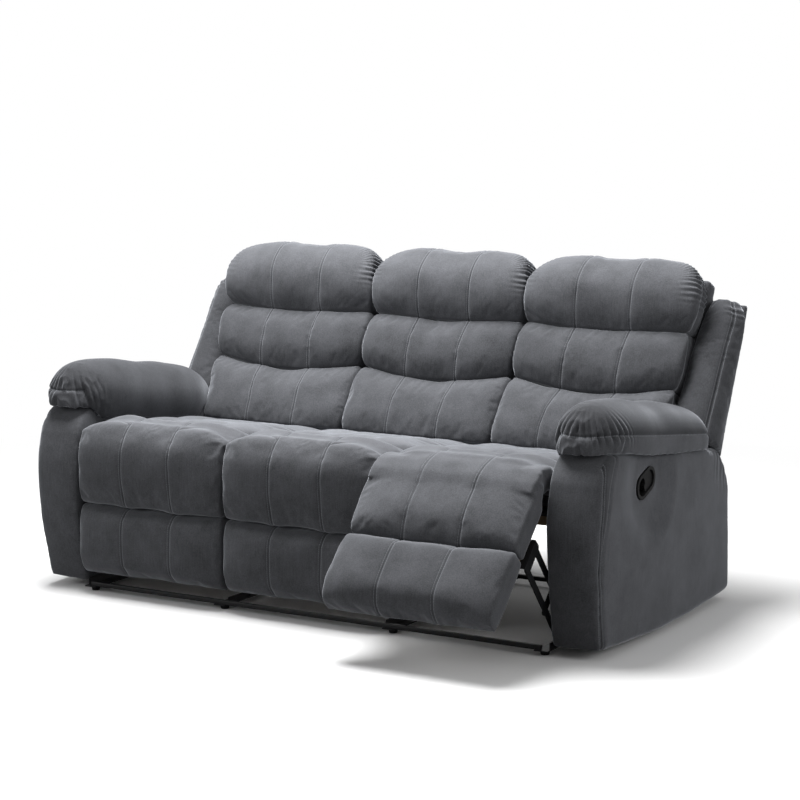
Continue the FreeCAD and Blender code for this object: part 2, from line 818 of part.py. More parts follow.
lever = stadium(inner_long - 2 * lever_play, inner_wide - 2 * lever_play,
                -lever_thick - 1, -1)
front_cut = block(-100, 100, -200, lever_front, -100, 100)
lever = lever.cut(front_cut)
grip = block(-lever_thick - 5, -lever_thick, lever_front, lever_front + 7, -22, 22)
scoop = Part.makeCylinder(15, 40, Vector(-20, lever_front - 6, 6), Vector(1, 0, 0))
lever_pin = Part.makeCylinder(lever_pin_r, 2 * pin_half - 0.4,
                              Vector(pin_x, lever_pin_at, -pin_half + 0.2), Vector(0, 0, 1))
lever = lever.fuse(grip).cut(scoop).fuse(lever_pin).removeSplitter()


def pad_base_z(y):
    """Where the pad lies: along the arm's top, and level where it stands out in front."""
    return arm_top_z(max(y, arm_front_top[0])) + body_gap


def arm_pad_wire(y, half_in, half_out, rise):
    """Cross-section of the pillow arm pad before the arm's room is taken out of it."""
    centre = (arm_in + arm_out) / 2
    base = pad_base_z(y)
    low = base - pad_hang
    left = centre - half_in
    right = centre + half_out
    seam_z = base + 0.36 * rise
    bulge_z = (low + seam_z) / 2

    def at(x, z):
        return Vector(x, y, z)

    return Part.Wire([
        Part.LineSegment(at(left + pad_tuck, low), at(right - pad_tuck, low)).toShape(),
        Part.Arc(at(right - pad_tuck, low), at(right - pad_tuck / 5, bulge_z), at(right, seam_z)).toShape(),
        Part.Arc(at(right, seam_z), at(centre, base + rise), at(left, seam_z)).toShape(),
        Part.Arc(at(left, seam_z), at(left + pad_tuck / 5, bulge_z), at(left + pad_tuck, low)).toShape(),
    ])


arm_half = arm_width / 2
pad_wires = []
for share, narrow_in, narrow_out, high in (
        (0.0, 0.34, 0.34, 0.3),
        (0.04, 0.62, 0.62, 0.66),
        (0.1, 0.84, 0.82, 0.88),
        (0.2, 1.0, 0.96, 1.0),
        (0.45, 1.0, 1.0, 1.0),
        (0.72, 1.0, 1.0, 1.0),
        (0.82, 0.93, 1.0, 0.98),
        (0.9, 0.79, 0.98, 0.94),
        (0.97, 0.66, 0.92, 0.8),
        (1.0, 0.4, 0.7, 0.55)):
    y = pad_front_y + (pad_rear_y - pad_front_y) * share
    rise = (pad_front_rise + (pad_rear_rise - pad_front_rise) * share) * high
    pad_wires.append(arm_pad_wire(y, (arm_half + pad_overhang_in) * narrow_in,
                                  (arm_half + pad_overhang_out) * narrow_out, rise))
arm_room = [
    (2 * pad_front_y, floor_gap),
    (2 * pad_front_y, pad_base_z(pad_front_y)),
    (arm_front_top[0], pad_base_z(pad_front_y)),
    (2 * pad_rear_y, pad_base_z(2 * pad_rear_y)),
    (2 * pad_rear_y, floor_gap),
]
arm_pad = skinned(pad_wires).cut(polygon(arm_room, arm_in - body_gap, 2 * arm_out))

for side in ("left", "right"):
    keep(side, "arm", arm)
    keep(side, "arm_pad", arm_pad)
    keep(side, "handle_bezel", on_arm(bezel))
    keep(side, "release_lever", on_arm(lever))

# The origin moves to the floor under the middle of the depth
box = Part.makeCompound(list(made.values())).optimalBoundingBox(True, False)
mid_depth = (box.YMin + box.YMax) / 2

os.makedirs("parts", exist_ok=True)
for name, shape in made.items():
    placed = shape.copy()
    placed.translate(Vector(0, -mid_depth, 0))
    placed.exportStep("parts/" + name + ".step")
print("nodes", len(made), "mid depth", round(mid_depth, 2))
print("box", [round(v, 1) for v in (box.XMin, box.XMax, box.YMin, box.YMax, box.ZMin, box.ZMax)])
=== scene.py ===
import math

import bmesh
import bpy
import numpy as np
from mathutils import Euler, Matrix, Vector, noise


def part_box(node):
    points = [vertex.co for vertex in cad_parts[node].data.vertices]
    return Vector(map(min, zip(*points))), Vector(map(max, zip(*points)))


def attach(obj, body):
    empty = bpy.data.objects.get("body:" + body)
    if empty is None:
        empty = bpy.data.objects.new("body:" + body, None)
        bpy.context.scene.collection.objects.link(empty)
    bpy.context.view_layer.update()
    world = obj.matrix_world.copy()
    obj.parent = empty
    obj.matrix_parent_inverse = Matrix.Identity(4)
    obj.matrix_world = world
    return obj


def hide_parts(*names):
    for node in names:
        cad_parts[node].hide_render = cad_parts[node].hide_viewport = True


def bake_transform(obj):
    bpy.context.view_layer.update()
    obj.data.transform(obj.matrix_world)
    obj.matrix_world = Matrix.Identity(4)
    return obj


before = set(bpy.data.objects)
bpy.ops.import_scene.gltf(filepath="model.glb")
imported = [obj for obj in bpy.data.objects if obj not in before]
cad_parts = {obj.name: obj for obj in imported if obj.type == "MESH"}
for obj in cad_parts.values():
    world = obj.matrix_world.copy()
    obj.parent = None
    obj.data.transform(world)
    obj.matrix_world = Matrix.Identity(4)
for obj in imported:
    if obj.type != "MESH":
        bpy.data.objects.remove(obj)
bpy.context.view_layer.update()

# Steel base and footrest linkage: square tube, pressed plate and flat bar in mild steel. The parts are
# welded or riveted, then dipped in satin black paint, which lies thick and a little uneven on the edges.


def colour(code):
    """sRGB hex to the linear colour that a shader takes."""
    parts = [int(code[i:i + 2], 16) / 255 for i in (1, 3, 5)]
    return [c / 12.92 if c <= 0.04045 else ((c + 0.055) / 1.055) ** 2.4 for c in parts] + [1.0]


def add(tree, kind, settings, inputs):
    """Adds one shader node; inputs are values, colours or the sockets that feed it."""
    made = tree.nodes.new("ShaderNode" + kind)
    for key, value in settings.items():
        setattr(made, key, value)
    for key, value in inputs.items():
        if isinstance(value, bpy.types.NodeSocket):
            tree.links.new(value, made.inputs[key])
        else:
            made.inputs[key].default_value = value
    return made


def finish_named(name):
    made = bpy.data.materials.new(name)
    made.use_nodes = True
    return made, made.node_tree, made.node_tree.nodes["Principled BSDF"]


def dipped_black_paint():
    """Black paint over steel: a dull sheen, with slow waves in the film."""
    made, tree, shader = finish_named("dipped_black_paint")
    place = add(tree, "TexCoord", {}, {})
    film = add(tree, "TexNoise", {}, {"Vector": place.outputs["Object"], "Scale": 60.0, "Detail": 3.0})
    tone = add(tree, "ValToRGB", {}, {"Fac": film.outputs["Fac"]})
    tone.color_ramp.elements[0].color = colour("#0f0f10")
    tone.color_ramp.elements[1].color = colour("#1b1b1d")
    rough = add(tree, "MapRange", {}, {"Value": film.outputs["Fac"], "To Min": 0.4, "To Max": 0.56})
    ripple = add(tree, "Bump", {}, {"Height": film.outputs["Fac"], "Strength": 0.12, "Distance": 0.0006})
    shader.inputs["Specular IOR Level"].default_value = 0.25
    tree.links.new(tone.outputs["Color"], shader.inputs["Base Color"])
    tree.links.new(rough.outputs["Result"], shader.inputs["Roughness"])
    tree.links.new(ripple.outputs["Normal"], shader.inputs["Normal"])
    return made


def wear(node, material):
    """Gives a construction part its finish."""
    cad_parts[node].data.materials.clear()
    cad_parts[node].data.materials.append(material)


paint = dipped_black_paint()
for node in ("front_bar", "rear_bar", "base_rails", "middle_back_posts"):
    wear(node, paint)
for side in ("left", "right"):
    for part in ("side_plates", "back_brackets", "footrest_brackets", "swing_links", "drive_links",
                 "drive_tube", "upper_struts", "lower_struts"):
        wear(side + "_" + part, paint)

# Floor glides, handle cups and release levers: injection-moulded ABS with a fine spark-eroded texture.
# The glides clip into the rails; the cup is pressed into the arm and the lever swings on a pin inside it.


def spark_textured_abs():
    """Black ABS from a textured mould: matt, with a grain of about 0.4 mm that scatters highlights."""
    made, tree, shader = finish_named("spark_textured_abs")
    place = add(tree, "TexCoord", {}, {})
    grain = add(tree, "TexNoise", {}, {"Vector": place.outputs["Object"], "Scale": 1200.0, "Detail": 2.0})
    wipe = add(tree, "TexNoise", {}, {"Vector": place.outputs["Object"], "Scale": 25.0})
    rough = add(tree, "MapRange", {}, {"Value": wipe.outputs["Fac"], "To Min": 0.5, "To Max": 0.66})
    relief = add(tree, "Bump", {}, {"Height": grain.outputs["Fac"], "Strength": 0.25, "Distance": 0.0002})
    shader.inputs["Base Color"].default_value = colour("#0a0a0b")
    shader.inputs["Specular IOR Level"].default_value = 0.25
    tree.links.new(rough.outputs["Result"], shader.inputs["Roughness"])
    tree.links.new(relief.outputs["Normal"], shader.inputs["Normal"])
    return made


plastic = spark_textured_abs()
wear("feet", plastic)
for side in ("left", "right"):
    wear(side + "_handle_bezel", plastic)
    wear(side + "_release_lever", plastic)

# Seat decks and footrest boards: raw plywood frames under the cushions, with elastic webbing stapled over
# the seat bays. Both show only from below and behind.


def rotary_cut_plywood():
    """Raw plywood: brown and matt, with long soft grain bands about 12 mm apart."""
    made, tree, shader = finish_named("rotary_cut_plywood")
    place = add(tree, "TexCoord", {}, {})
    along = add(tree, "Mapping", {}, {"Vector": place.outputs["Object"], "Scale": (3.0, 80.0, 80.0)})
    grain = add(tree, "TexNoise", {}, {"Vector": along.outputs["Vector"], "Scale": 1.0, "Detail": 5.0})
    tone = add(tree, "ValToRGB", {}, {"Fac": grain.outputs["Fac"]})
    tone.color_ramp.elements[0].position = 0.35
    tone.color_ramp.elements[0].color = colour("#5f4d38")
    tone.color_ramp.elements[1].position = 0.68
    tone.color_ramp.elements[1].color = colour("#86714f")
    relief = add(tree, "Bump", {}, {"Height": grain.outputs["Fac"], "Strength": 0.2, "Distance": 0.0004})
    shader.inputs["Roughness"].default_value = 0.72
    tree.links.new(tone.outputs["Color"], shader.inputs["Base Color"])
    tree.links.new(relief.outputs["Normal"], shader.inputs["Normal"])
    return made


def ribbed_elastic():
    """Woven elastic strap: dark, with ribs 4 mm apart across it."""
    made, tree, shader = finish_named("ribbed_elastic")
    place = add(tree, "TexCoord", {}, {})
    rib = add(tree, "TexWave", {"bands_direction": "X"},
              {"Vector": place.outputs["Object"], "Scale": 80.0, "Distortion": 0.6})
    tone = add(tree, "ValToRGB", {}, {"Fac": rib.outputs["Fac"]})
    tone.color_ramp.elements[0].color = colour("#242426")
    tone.color_ramp.elements[1].color = colour("#3a3a3d")
    relief = add(tree, "Bump", {}, {"Height": rib.outputs["Fac"], "Strength": 0.5, "Distance": 0.0008})
    shader.inputs["Roughness"].default_value = 0.85
    tree.links.new(tone.outputs["Color"], shader.inputs["Base Color"])
    tree.links.new(relief.outputs["Normal"], shader.inputs["Normal"])
    return made


plywood = rotary_cut_plywood()
for node in ("middle_seat_deck", "middle_front_board", "left_seat_deck", "right_seat_deck",
             "left_footrest_board", "right_footrest_board"):
    wear(node, plywood)
wear("seat_webbing", ribbed_elastic())

# Middle seat: its cushion and upper front pad share one cover of brushed microfibre, drawn over the front
# edge. The cover is stuffed, sewn in three panels with double lines, and creased across behind the front.

grid = 0.0075
seat_pitch = 0.545
seam_step = 0.0895
stitch_reach = 0.02
stitch_pitch = 0.0065
fill_reach = 0.035
nose_crease_y = -0.1
crease_bow = 0.105


def brushed_microfibre():
    """Grey brushed microfibre: matt, with a short nap that turns light where it is seen edge on, brushed in
    soft clouds and fine upright streaks. The two rows of top stitching lie 5 mm each side of a seam; the
    thread is drawn 1.6 mm wide, twice its real width, so that it shows. Within about 2.4 mm of a seam line
    the colour runs to near black, painted shade in the seam's crease. The seam note's third value paints a
    panel's colour lighter or darker and sets its sheen weight: painted light and shade that stands for the
    nap's sheen and for how the light falls on the panel."""
    made, tree, shader = finish_named("brushed_microfibre")
    place = add(tree, "TexCoord", {}, {})
    cloud = add(tree, "TexNoise", {}, {"Vector": place.outputs["Object"], "Scale": 13.0, "Detail": 5.0,
                                       "Roughness": 0.65})
    upright = add(tree, "Mapping", {}, {"Vector": place.outputs["Object"], "Scale": (260.0, 260.0, 18.0)})
    streak = add(tree, "TexNoise", {}, {"Vector": upright.outputs["Vector"], "Scale": 1.0, "Detail": 2.0})
    fibre = add(tree, "TexNoise", {}, {"Vector": place.outputs["Object"], "Scale": 340.0, "Detail": 3.0})
    nap = add(tree, "Math", {"operation": "MULTIPLY"}, {0: streak.outputs["Fac"], 1: 0.25})
    speckle = add(tree, "Math", {"operation": "MULTIPLY_ADD"}, {0: fibre.outputs["Fac"], 1: 0.55,
                                                                2: nap.outputs[0]})
    brushed = add(tree, "Math", {"operation": "MULTIPLY_ADD"}, {0: cloud.outputs["Fac"], 1: 0.55,
                                                                2: speckle.outputs[0]})
    tone = add(tree, "ValToRGB", {}, {"Fac": brushed.outputs[0]})
    tone.color_ramp.elements[0].position = 0.42
    tone.color_ramp.elements[0].color = colour("#38393b")
    tone.color_ramp.elements[1].position = 0.95
    tone.color_ramp.elements[1].color = colour("#5b5c60")
    seam = add(tree, "Attribute", {"attribute_name": "seam"}, {})
    sewn = add(tree, "SeparateXYZ", {}, {0: seam.outputs["Vector"]})
    # Painted light and shade: the seam note's third value makes the cloth's colour lighter or darker.
    painted_nap_light = add(tree, "MapRange", {"clamp": False}, {"Value": sewn.outputs["Z"], "From Min": -1.0,
                                                   "From Max": 1.0, "To Min": 0.6, "To Max": 1.4})
    raised = add(tree, "MapRange", {"clamp": False}, {"Value": sewn.outputs["Z"], "From Min": -1.0,
                                                      "From Max": 1.0, "To Min": 0.4, "To Max": 1.15})
    panel = add(tree, "HueSaturation", {}, {"Value": painted_nap_light.outputs["Result"], "Color": tone.outputs["Color"]})
    row = add(tree, "Math", {"operation": "COMPARE"}, {0: sewn.outputs["X"], 1: 0.75, 2: 0.04})
    pace = add(tree, "Math", {"operation": "MULTIPLY"}, {0: sewn.outputs["Y"], 1: 1 / stitch_pitch})
    beat = add(tree, "Math", {"operation": "FRACT"}, {0: pace.outputs[0]})
    stitch = add(tree, "Math", {"operation": "LESS_THAN"}, {0: beat.outputs[0], 1: 0.8})
    thread = add(tree, "Math", {"operation": "MULTIPLY"}, {0: row.outputs[0], 1: stitch.outputs[0]})
    # Painted shade: the cloth turns near black right at a seam or crease, where shade falls in the groove.
    painted_seam_shade = add(tree, "MapRange", {}, {"Value": sewn.outputs["X"], "From Min": 0.88, "From Max": 1.0})
    dark = add(tree, "Mix", {"data_type": "RGBA"}, {0: painted_seam_shade.outputs["Result"], 6: panel.outputs["Color"],
                                                    7: colour("#1e1f21")})
    dyed = add(tree, "Mix", {"data_type": "RGBA"}, {0: thread.outputs[0], 6: dark.outputs[2],
                                                    7: colour("#6a6c70")})
    height = add(tree, "Math", {"operation": "MULTIPLY_ADD"}, {0: thread.outputs[0], 1: 1.2,
                                                               2: speckle.outputs[0]})
    relief = add(tree, "Bump", {}, {"Height": height.outputs[0], "Strength": 0.35, "Distance": 0.0012})
    shader.inputs["Roughness"].default_value = 0.95
    shader.inputs["Specular IOR Level"].default_value = 0.1
    shader.inputs["Sheen Roughness"].default_value = 0.38
    shader.inputs["Sheen Tint"].default_value = colour("#e6eaf2")
    tree.links.new(dyed.outputs[2], shader.inputs["Base Color"])
    tree.links.new(raised.outputs["Result"], shader.inputs["Sheen Weight"])
    tree.links.new(relief.outputs["Normal"], shader.inputs["Normal"])
    return made


def points(piece):
    """Places and outward directions of a cover's points."""
    mesh = piece.data
    mesh.update()
    co = np.empty(len(mesh.vertices) * 3)
    out = np.empty(len(mesh.vertices) * 3)
    mesh.vertices.foreach_get("co", co)
    mesh.vertices.foreach_get("normal", out)
    return co.reshape(-1, 3), out.reshape(-1, 3)


def place_points(piece, co):
    piece.data.vertices.foreach_set("co", co.ravel())
    piece.data.update()


def only(piece):
    """Selects one piece and nothing else."""
    bpy.ops.object.select_all(action="DESELECT")
    piece.select_set(True)
    bpy.context.view_layer.objects.active = piece


def cover(name, nodes, outline=None, size=grid):
    """An even mesh over the stuffed solids, with an optional side outline (y, z) of more filling."""
    cloth = bmesh.new()
    for node in nodes:
        cloth.from_mesh(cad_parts[node].data)
    if outline:
        left, right, corners = outline
        rings = [[cloth.verts.new((x, y, z)) for y, z in corners] for x in (left, right)]
        cloth.faces.new(rings[0])
        cloth.faces.new(rings[1][::-1])
        for i in range(len(corners)):
            j = (i + 1) % len(corners)
            cloth.faces.new((rings[0][j], rings[0][i], rings[1][i], rings[1][j]))
    bmesh.ops.remove_doubles(cloth, verts=cloth.verts, dist=1e-5)
    mesh = bpy.data.meshes.new(name)
    cloth.to_mesh(mesh)
    cloth.free()
    piece = bpy.data.objects.new(name, mesh)
    bpy.context.scene.collection.objects.link(piece)
    only(piece)
    even = piece.modifiers.new("Even", "REMESH")
    even.mode = "VOXEL"
    even.voxel_size = size
    ease = piece.modifiers.new("Ease", "SMOOTH")
    ease.iterations = 2
    bpy.ops.object.modifier_apply(modifier=even.name)
    bpy.ops.object.modifier_apply(modifier=ease.name)
    return piece


def stuff(piece, held, reach, spare=0.012, frames=14):
    """Blows the cover up like a filled cushion. held marks the sewn points; no point moves past reach."""
    scene = bpy.context.scene
    start, _ = points(piece)
    group = piece.vertex_groups.new(name="sewn")
    group.add([int(i) for i in np.nonzero(held)[0]], 1.0, "REPLACE")
    filling = piece.modifiers.new("Filling", "CLOTH")
    rules = filling.settings
    rules.quality = 4
    rules.mass = 0.3
    rules.tension_stiffness = 12
    rules.compression_stiffness = 12
    rules.bending_stiffness = 0.6
    rules.use_pressure = True
    rules.uniform_pressure_force = 2.5
    rules.shrink_min = -spare
    rules.vertex_group_mass = group.name
    rules.effector_weights.gravity = 0
    filling.collision_settings.use_collision = False
    for step in range(1, frames + 1):
        scene.frame_set(step)
    blown = piece.evaluated_get(bpy.context.evaluated_depsgraph_get()).data
    co = np.empty(len(blown.vertices) * 3)
    blown.vertices.foreach_get("co", co)
    piece.modifiers.clear()
    piece.vertex_groups.clear()
    scene.frame_set(1)
    move = co.reshape(-1, 3) - start
    size = np.linalg.norm(move, axis=1)
    scale = reach * np.tanh(size / reach) / np.maximum(size, 1e-9)
    place_points(piece, start + move * scale[:, None])


def refine(piece):
    """Splits each face in four, so that seams and gathers have points to bend."""
    only(piece)
    finer = piece.modifiers.new("Finer", "SUBSURF")
    finer.levels = 1
    finer.render_levels = 1
    bpy.ops.object.modifier_apply(modifier=finer.name)


def mark_seams(piece, distance, along, painted_nap_light=0.0):
    """Notes for the cloth how near each point lies to a seam, how far along it, and how much its colour is
    painted lighter or darker, painted light and shade for the nap's sheen and the light that falls on it.
    """
    near = np.clip(1 - distance / stitch_reach, 0, 1)
    note = piece.data.attributes.new("seam", "FLOAT_VECTOR", "POINT")
    note.data.foreach_set("vector", np.stack([near, along, near * 0 + painted_nap_light], 1).ravel())


def sew_in(co, out, distance, depth=0.0025, wide=0.005, fill=0.0):
    """Draws the cover in along its seams; fill lifts the cloth beside them by that much."""
    depth = depth * np.exp(-(distance / wide) ** 2) - fill * np.exp(-(distance / fill_reach) ** 2)
    return co - out * depth[:, None]


def waves(co, scale, seed):
    """Slow random waves over a piece, from -1 to 1."""
    shift = Vector((seed * 7.1, seed * 3.7, seed))
    return np.array([noise.noise(Vector(p) * scale + shift) for p in co])


microfibre = brushed_microfibre()


def clothe(piece, *nodes, body=None):
    """Finishes a soft piece: its cloth, its smooth shade, and the solids that it stands for."""
    only(piece)
    bpy.ops.object.shade_smooth()
    piece.data.materials.clear()
    piece.data.materials.append(microfibre)
    if nodes:
        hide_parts(*nodes)
    if body:
        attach(piece, body)


def box_of(nodes):
    lows, highs = zip(*[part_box(node) for node in nodes])
    return np.min(np.array(lows), 0), np.max(np.array(highs), 0)


def hold_width(piece, low, high, spare=0.001):
    """Keeps a swollen cushion from pushing into the one beside it."""
    co, _ = points(piece)
    co[:, 0] = np.clip(co[:, 0], low - spare, high + spare)
    place_points(piece, co)


def crease_line(across):
    """How far forward the cross crease lies: straight in the middle, running back at the sides."""
    return nose_crease_y - crease_bow * (1 - across ** 4)


def make_seat(name, nodes, centre, outline=None):
    """Seat cushion and upper front pad under one cover."""
    piece = cover(name, nodes, outline)
    low, high = box_of(nodes)
    co, out = points(piece)
    across = np.clip((co[:, 0] - centre) / (high[0] - low[0]) * 2, -1, 1)
    crease_gap = np.abs(co[:, 1] - crease_line(across))
    held = ((crease_gap < 0.006) & (out[:, 2] > 0.3)) | (out[:, 2] < -0.5)
    held |= np.abs(across) > 0.985
    held |= (out[:, 1] > 0.5) & (co[:, 2] < 0.44)
    dip = np.exp(-(crease_gap / 0.03) ** 2) * (out[:, 2] > 0.3) * (1 - across ** 8)
    level = 0.012 * np.exp(-((co[:, 1] + 0.17) / 0.05) ** 2) * (out[:, 2] > 0.3)
    co[:, 2] += level - 0.020 * dip
    place_points(piece, co)
    stuff(piece, held, 0.012)
    hold_width(piece, low[0], high[0], 0.003)
    refine(piece)
    co, out = points(piece)
    across = np.clip((co[:, 0] - centre) / (high[0] - low[0]) * 2, -1, 1)
    crease_gap = np.abs(co[:, 1] - crease_line(across))
    ruck = waves(co * (1, 0.25, 0.25), 40.0, 3 + centre)
    near = np.exp(-(crease_gap / 0.04) ** 2) * (out[:, 2] > 0.3)
    co += out * (ruck * near * 0.004)[:, None]
    co = sew_in(co, out, np.where(out[:, 2] > 0.2, crease_gap, 1.0), 0.008, 0.008)
    seam_gap = np.abs(np.abs(co[:, 0] - centre) - seam_step)
    front = np.clip((crease_line(across) - 0.015 - co[:, 1]) / 0.03, 0, 1)
    seam_gap = np.where(front > 0.5, seam_gap, 1.0)
    co = sew_in(co, out, seam_gap, fill=0.005)
    co += out * (waves(co, 9.0, centre) * 0.004)[:, None]
    place_points(piece, co)
    crease_join = np.where(out[:, 2] > 0.2, crease_gap, 1.0)
    behind = np.clip((co[:, 1] - crease_line(across)) / 0.01, 0, 1)
    # Painted light: cloth that faces up is painted lighter, the rear panel behind the crease more so, for
    # the nap's sheen and the light from above.
    mark_seams(piece, np.minimum(seam_gap, crease_join), co[:, 2] - co[:, 1],
               (0.6 + 0.5 * behind) * np.clip(out[:, 2], 0, 1))
    return piece


middle_seat = make_seat("middle_seat_cover", ("middle_seat_cushion", "middle_upper_pad"), 0.0)


def copy_of(piece, name, change):
    """A second piece from the same pattern, moved or mirrored."""
    mesh = piece.data.copy()
    mesh.name = name
    mesh.transform(change)
    if change.determinant() < 0:
        mesh.flip_normals()
    twin = bpy.data.objects.new(name, mesh)
    bpy.context.scene.collection.objects.link(twin)
    return twin


left_seat = copy_of(middle_seat, "left_seat_cover", Matrix.Translation((-seat_pitch, 0, 0)))
clothe(middle_seat, "middle_seat_cushion", "middle_upper_pad", body="frame")
clothe(left_seat, "left_seat_cushion", "left_upper_pad")
fold_y = -0.40063
fold_z = 0.538
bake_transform(left_seat)

# Right seat: the same cover, part open. The cloth bridges from the seat's front edge to the raised pad, so
# the open fold is filled and follows both.

bridge_half = 0.262
bridge = (seat_pitch - bridge_half, seat_pitch + bridge_half, [
    (-0.33, 0.536), (-0.365, 0.538), (-0.405, 0.528), (-0.44, 0.505), (-0.46, 0.478), (-0.41, 0.455),
    (-0.34, 0.47)])
right_seat = make_seat("right_seat_cover", ("right_seat_cushion", "right_upper_pad"), seat_pitch, bridge)
clothe(right_seat, "right_seat_cushion", "right_upper_pad")
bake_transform(right_seat)

# Lower front pads: one below each seat, stapled to the same board as the upper pad. Only the two stitched
# lines cross them; their lower edge is rolled under the board.


def make_lower_pad():
    nodes = ("middle_lower_pad",)
    piece = cover("middle_lower_pad_cover", nodes)
    low, high = box_of(nodes)
    co, out = points(piece)
    held = (out[:, 1] > 0.5) | (np.abs(co[:, 0]) > high[0] - 0.004)
    stuff(piece, held, 0.009)
    hold_width(piece, low[0], high[0], 0.002)
    refine(piece)
    co, out = points(piece)
    seam_gap = np.abs(np.abs(co[:, 0]) - seam_step)
    co = sew_in(co, out, seam_gap, fill=0.003)
    co += out * (waves(co, 9.0, 5) * 0.003)[:, None]
    place_points(piece, co)
    mark_seams(piece, seam_gap, co[:, 2])
    return piece


right_open = math.radians(43.5)
middle_lower = make_lower_pad()
left_lower = copy_of(middle_lower, "left_lower_pad_cover", Matrix.Translation((-seat_pitch, 0, 0)))
hinge = Matrix.Translation((seat_pitch, fold_y, fold_z))
swing = hinge @ Matrix.Rotation(-right_open, 4, "X") @ hinge.inverted()
right_lower = copy_of(middle_lower, "right_lower_pad_cover",
                      swing @ Matrix.Translation((seat_pitch, 0, 0)))
clothe(middle_lower, "middle_lower_pad", body="frame")
clothe(left_lower, "left_lower_pad", body="left_footrest")
clothe(right_lower, "right_lower_pad", body="right_footrest")

# Back rolls: each back has a lumbar roll, a middle roll and a headrest, stuffed and sewn in three panels.
# The seams between the rolls sag towards the middle; the headrest ends are gathered on a boxed side.

lean = math.radians(24.0)
foot_y = 0.48637
foot_z = 0.446
up_way = np.array((0, math.sin(lean), math.cos(lean)))
third_seams = (1 / 3, 2 / 3)
roll_sag = {"lumbar_roll": (0.0, 0.040), "back_roll": (0.040, 0.018), "headrest": (0.018, 0.0)}
# Painted light and shade per roll: how much lighter or darker each roll's colour is painted, for the nap's
# sheen and the light each roll gets.
roll_painted_light = {"lumbar_roll": -0.15, "back_roll": -0.35, "headrest": 0.25}
head_round = 0.085
head_high = 0.597
head_gather_pitch = 0.017


def up_the_back(co):
    return (co[:, 1] - foot_y) * math.sin(lean) + (co[:, 2] - foot_z) * math.cos(lean)


def off_the_back(co):
    return (co[:, 2] - foot_z) * math.sin(lean) - (co[:, 1] - foot_y) * math.cos(lean)


def forwards(out):
    """How much of an outward direction points off the front of the back."""
    return -out[:, 1] * math.cos(lean) + out[:, 2] * math.sin(lean)


def edges_at(side, roll, up):
    """Left and right edge of a roll at each height; the outer backs widen above the arms."""
    inner = 0.275 + 0.014 * (up + 0.08) / 0.677
    if side == "middle":
        return 0.003 - inner, inner - 0.003
    if roll == "lumbar_roll":
        outer = 0.804 + 0.037 * np.clip((up - 0.02) / 0.159, 0, None)
    else:
        outer = 0.841 + 0.020 * (up - 0.179) / 0.418
    return (inner, outer) if side == "right" else (-outer, -inner)


def make_roll(side, roll):
    """The stuffed form of a roll, before its seams are drawn in."""
    node = side + "_" + roll
    piece = cover(node + "_cover", (node,))
    low, high = box_of((node,))
    co, out = points(piece)
    up = up_the_back(co)
    held = (forwards(out) < -0.5) | (up < up.min() + 0.006)
    if roll != "headrest":
        held |= up > up.max() - 0.006
    stuff(piece, held, 0.008)
    hold_width(piece, low[0], high[0], 0.002)
    refine(piece)
    return piece


def sew_roll(piece, side, roll):
    """Draws in the two seams, gathers the headrest's top corners, and lets the middle sag. roll_sag holds
    the sag at the roll's lower and upper edge."""
    co, out = points(piece)
    up = up_the_back(co)
    left, right = edges_at(side, roll, up)
    across = np.clip((co[:, 0] - left) / (right - left), 0, 1)
    width = right - left
    seam_gap = np.minimum(*[np.abs(across - seam) for seam in third_seams]) * width
    seam_gap = np.where(forwards(out) > -0.3, seam_gap, 1.0)
    co = sew_in(co, out, seam_gap, fill=0.006)
    if roll == "headrest":
        off_middle = co[:, 0] - (left + right) / 2
        over = np.stack([np.abs(off_middle) - (width / 2 - head_round), up - (head_high - head_round)], 1)
        corner = np.arctan2(np.maximum(over[:, 1], 0), np.maximum(over[:, 0], 1e-4))
        run = head_round * corner + np.minimum(over[:, 1], 0)
        from_edge = head_round - np.hypot(np.maximum(over[:, 0], 0), np.maximum(over[:, 1], 0))
        ruck = np.sin(run * 2 * math.pi / head_gather_pitch + 2.5 * waves(co, 16.0, 2 + left[0]))
        fade = np.exp(-(from_edge / 0.032) ** 2) * np.exp(-((run - 0.03) / 0.085) ** 4)
        fade *= np.where(off_middle > 0, 1.0, 0.25) * (np.abs(over[:, 0]) < head_round + 0.01)
        co += out * (ruck * fade * 0.0045)[:, None]
    share = np.clip((up - up.min()) / (up.max() - up.min()), 0, 1)
    sag_low, sag_high = roll_sag[roll]
    sag = (sag_low + (sag_high - sag_low) * share) * (1 - (2 * across - 1) ** 2)
    co -= sag[:, None] * up_way
    if side != "middle":
        outwards = 1 if side == "right" else -1
        end = np.clip(across * 2 - 1 if side == "right" else 1 - across * 2, 0, 1)
        proud = np.clip((off_the_back(co) - 0.115) / 0.035, 0, 1)
        co[:, 0] += outwards * 0.016 * end ** 3 * proud
    co += out * (waves(co, 8.0, len(roll) + left[0]) * 0.005)[:, None]
    place_points(piece, co)
    # Painted light: the roll's own amount, with cloth that faces up painted lighter still.
    mark_seams(piece, seam_gap, up, roll_painted_light[roll] + 0.2 * np.clip(out[:, 2], 0, 1))


mirror = Matrix.Diagonal((-1, 1, 1, 1))
for roll in ("lumbar_roll", "back_roll", "headrest"):
    middle_roll = make_roll("middle", roll)
    right_roll = make_roll("right", roll)
    left_roll = copy_of(right_roll, "left_" + roll + "_cover", mirror)
    for side, made, body in (("left", left_roll, "left_back"), ("middle", middle_roll, "frame"),
                             ("right", right_roll, "right_back")):
        sew_roll(made, side, roll)
        clothe(made, side + "_" + roll, body=body)

# Wings and back shells: the padded wings stand beside the outer backs, and the shells close each back
# behind. Both are plywood under thin foam, so their edges are soft but their faces stay nearly flat.


wing_round = 0.045
wing_seam_x = 0.963
wing_gather_pitch = 0.02


